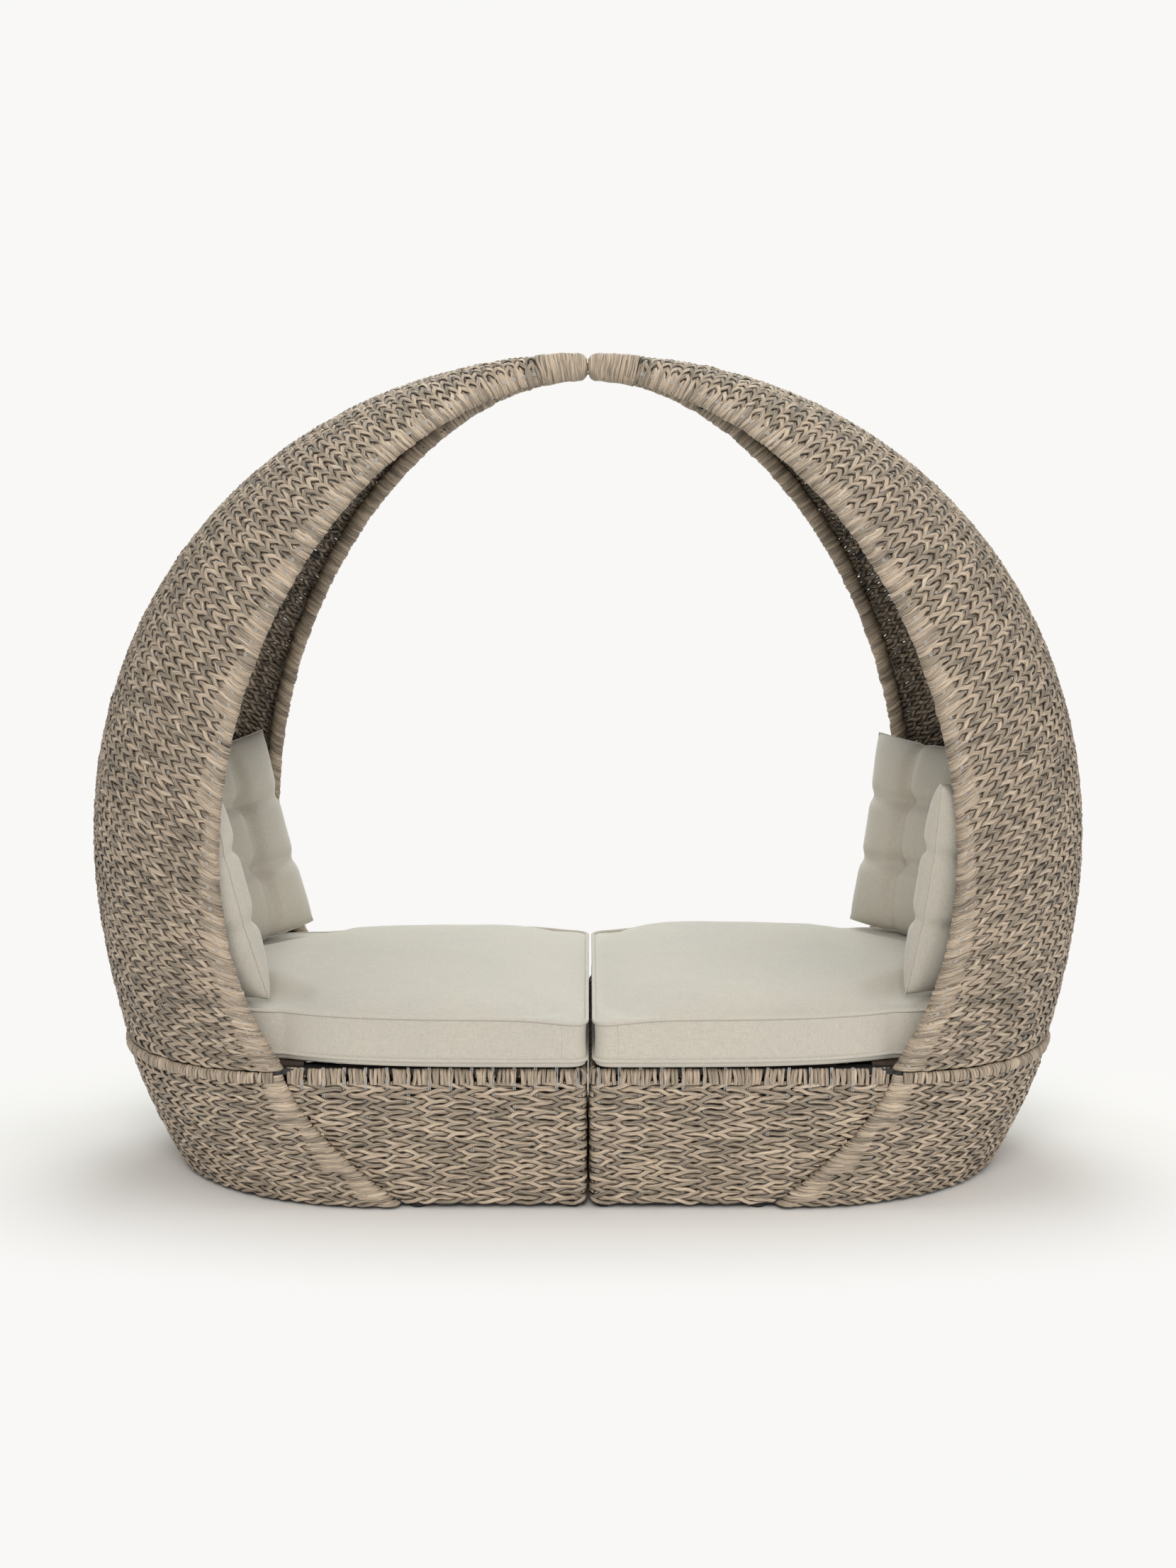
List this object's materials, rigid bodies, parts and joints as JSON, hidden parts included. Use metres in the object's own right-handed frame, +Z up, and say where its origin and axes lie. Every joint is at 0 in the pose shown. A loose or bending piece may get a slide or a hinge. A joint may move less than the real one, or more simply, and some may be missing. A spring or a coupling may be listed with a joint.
{
  "type": "sun lounger",
  "caption": "Woven cocoon daybed in two matching halves that slide apart, each with a curled hood, a woven base, a seat cushion and back cushions.",
  "frame": {"origin": "on the floor under the middle of the joined halves", "axes": "+X along the bed towards the right half, +Y from the front to the rear, +Z up"},
  "size_m": [2.1884, 0.916, 1.7836],
  "materials": {
    "weave": "flat resin strands, grey-beige, woven",
    "wrap": "flat resin strands wound round a tube",
    "frame": "black powder coat, semi-matt",
    "slats": "plain oiled boards",
    "steel": "plain stainless bolts",
    "foot": "matt black",
    "fabric": "light greige plain outdoor cloth, piped edges"
  },
  "bodies": {
    "left_module": {"left_hood_front_rim_tube": "frame", "left_hood_rear_rim_tube": "frame", "left_hood_front_rim_wrap": "wrap", "left_hood_rear_rim_wrap": "wrap", "left_hood_tip_wrap": "wrap", "left_hood_weave": "weave", "left_hood_mid_rib": "frame", "left_hood_low_rib": "frame", "left_hood_foot_rail": "frame", "left_hood_bolt_front": "steel", "left_hood_bolt_side": "steel", "left_hood_bolt_rear": "steel", "left_base_frame": "frame", "left_base_front_rim_wrap": "wrap", "left_base_rear_rim_wrap": "wrap", "left_base_weave": "weave", "left_base_front_panel": "weave", "left_base_rear_panel": "weave", "left_base_end_panel": "weave", "left_base_top_border": "wrap", "left_seat_deck": "slats", "left_foot_end_front": "foot", "left_foot_end_rear": "foot", "left_foot_middle_front": "foot", "left_foot_middle_rear": "foot", "left_foot_outer": "foot", "left_seat_cushion": "fabric", "left_back_cushion_front": "fabric", "left_back_cushion_rear": "fabric"},
    "right_module": {"right_hood_front_rim_tube": "frame", "right_hood_rear_rim_tube": "frame", "right_hood_front_rim_wrap": "wrap", "right_hood_rear_rim_wrap": "wrap", "right_hood_tip_wrap": "wrap", "right_hood_weave": "weave", "right_hood_mid_rib": "frame", "right_hood_low_rib": "frame", "right_hood_foot_rail": "frame", "right_hood_bolt_front": "steel", "right_hood_bolt_side": "steel", "right_hood_bolt_rear": "steel", "right_base_frame": "frame", "right_base_front_rim_wrap": "wrap", "right_base_rear_rim_wrap": "wrap", "right_base_weave": "weave", "right_base_front_panel": "weave", "right_base_rear_panel": "weave", "right_base_end_panel": "weave", "right_base_top_border": "wrap", "right_seat_deck": "slats", "right_foot_end_front": "foot", "right_foot_end_rear": "foot", "right_foot_middle_front": "foot", "right_foot_middle_rear": "foot", "right_foot_outer": "foot", "right_seat_cushion": "fabric", "right_back_cushion_front": "fabric", "right_back_cushion_rear": "fabric"}
  },
  "joints": [
    {"name": "module_slide", "type": "slide", "parent": "left_module", "child": "right_module", "axis": [1, 0, 0], "range_m": [0, 0.6]}
  ]
}
